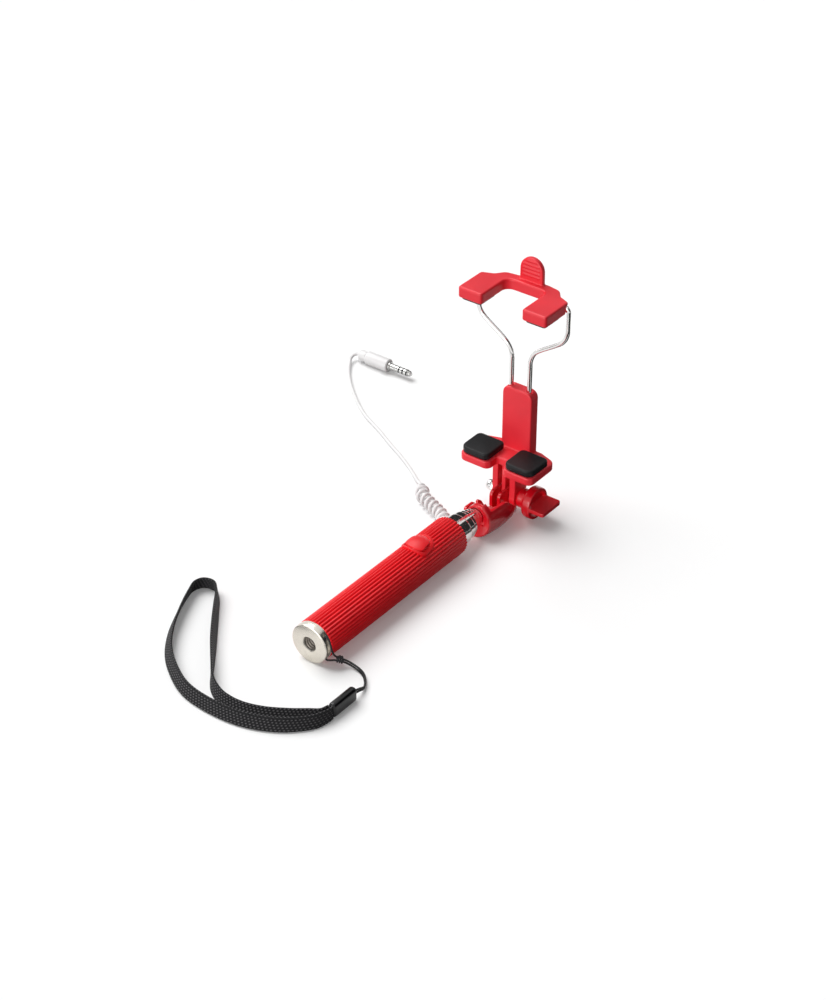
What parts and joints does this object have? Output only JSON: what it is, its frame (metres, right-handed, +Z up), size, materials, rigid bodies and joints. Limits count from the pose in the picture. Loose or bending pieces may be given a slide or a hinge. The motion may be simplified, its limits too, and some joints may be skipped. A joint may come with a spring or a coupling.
{
  "type": "telescopic selfie stick",
  "caption": "Telescopic hand grip with a shutter button, a wrist strap, a curly plug lead and a folding spring clamp that holds a handset upright",
  "frame": {"origin": "centre of the bounding box's base, on the ground, measured without the strap and the lead", "axes": "+Y along the closed stick from the end cap to the clamp, +Z up through the standing clamp, +X towards the thumb screw"},
  "size_m": [0.1748, 0.2663, 0.126],
  "materials": {
    "red_rubber": "matt moulded rubber",
    "red_gloss": "glossy moulded plastic",
    "red_satin": "satin moulded plastic",
    "black_rubber": "matt black rubber",
    "chrome_tube": "polished plating",
    "nickel": "satin nickel plating",
    "steel": "bright steel",
    "white_vinyl": "soft white vinyl",
    "black_plastic": "semi-gloss black plastic",
    "black_weave": "woven nylon",
    "board": "circuit board",
    "nylon": "plain nylon"
  },
  "bodies": {
    "handle": {"grip_sleeve": "red_rubber", "end_cap": "nickel", "tube_1": "chrome_tube", "switch_board": "board", "switch_dome": "steel", "lead_grommet": "white_vinyl", "lead_coil": "white_vinyl", "lead_run": "white_vinyl", "plug_boot": "white_vinyl", "plug_body": "white_vinyl", "jack_shaft": "nickel", "strap_cord": "black_weave", "strap_sleeve": "black_plastic", "strap_webbing": "black_weave"},
    "button": {"shutter_button": "red_rubber"},
    "stage_2": {"tube_2": "chrome_tube", "slide_bush_2": "nylon"},
    "stage_3": {"tube_3": "chrome_tube", "slide_bush_3": "nylon"},
    "stage_4": {"tube_4": "chrome_tube", "slide_bush_4": "nylon"},
    "stage_5": {"tube_5": "chrome_tube", "slide_bush_5": "nylon"},
    "stage_6": {"tube_6": "chrome_tube", "slide_bush_6": "nylon"},
    "stage_7": {"tube_7": "chrome_tube", "slide_bush_7": "nylon", "head_neck": "red_gloss"},
    "clamp": {"clamp_base": "red_satin", "spine_cover": "red_satin", "lower_pad_left": "black_rubber", "lower_pad_right": "black_rubber", "hinge_washer": "nickel", "hinge_nut": "chrome_tube", "clamp_spring": "steel", "spring_anchor_pin": "steel"},
    "thumb_screw": {"hinge_screw": "steel", "thumb_knob": "red_gloss"},
    "wire": {"wire_frame": "chrome_tube"},
    "jaw": {"upper_jaw": "red_satin", "upper_pad_left": "black_rubber", "upper_pad_right": "black_rubber"}
  },
  "joints": [
    {"name": "shutter_press", "type": "slide", "parent": "handle", "child": "button", "axis": [0, 0, -1], "range_m": [0, 0.00025], "stiffness_N_per_m": 3000},
    {"name": "tube_2_slide", "type": "slide", "parent": "handle", "child": "stage_2", "axis": [0, 1, 0], "range_m": [0, 0.0756]},
    {"name": "tube_3_slide", "type": "slide", "parent": "stage_2", "child": "stage_3", "axis": [0, 1, 0], "range_m": [0, 0.0759]},
    {"name": "tube_4_slide", "type": "slide", "parent": "stage_3", "child": "stage_4", "axis": [0, 1, 0], "range_m": [0, 0.0747]},
    {"name": "tube_5_slide", "type": "slide", "parent": "stage_4", "child": "stage_5", "axis": [0, 1, 0], "range_m": [0, 0.0735]},
    {"name": "tube_6_slide", "type": "slide", "parent": "stage_5", "child": "stage_6", "axis": [0, 1, 0], "range_m": [0, 0.0721]},
    {"name": "tube_7_slide", "type": "slide", "parent": "stage_6", "child": "stage_7", "axis": [0, 1, 0], "range_m": [0, 0.0704]},
    {"name": "clamp_fold", "type": "hinge", "parent": "stage_7", "child": "clamp", "pos_m": [0, 0.0657, 0.0087], "axis": [1, 0, 0], "range_deg": [-90, 25]},
    {"name": "thumb_screw_turn", "type": "hinge", "parent": "clamp", "child": "thumb_screw", "pos_m": [0, 0.0657, 0.0087], "axis": [1, 0, 0], "continuous": true},
    {"name": "jaw_lift", "type": "slide", "parent": "clamp", "child": "wire", "axis": [0, 0, 1], "range_m": [-0.013, 0.012], "deforming": ["clamp_spring"]},
    {"name": "jaw_tip", "type": "hinge", "parent": "wire", "child": "jaw", "pos_m": [0, 0.0726, 0.1113], "axis": [1, 0, 0], "range_deg": [-70, 0]}
  ]
}
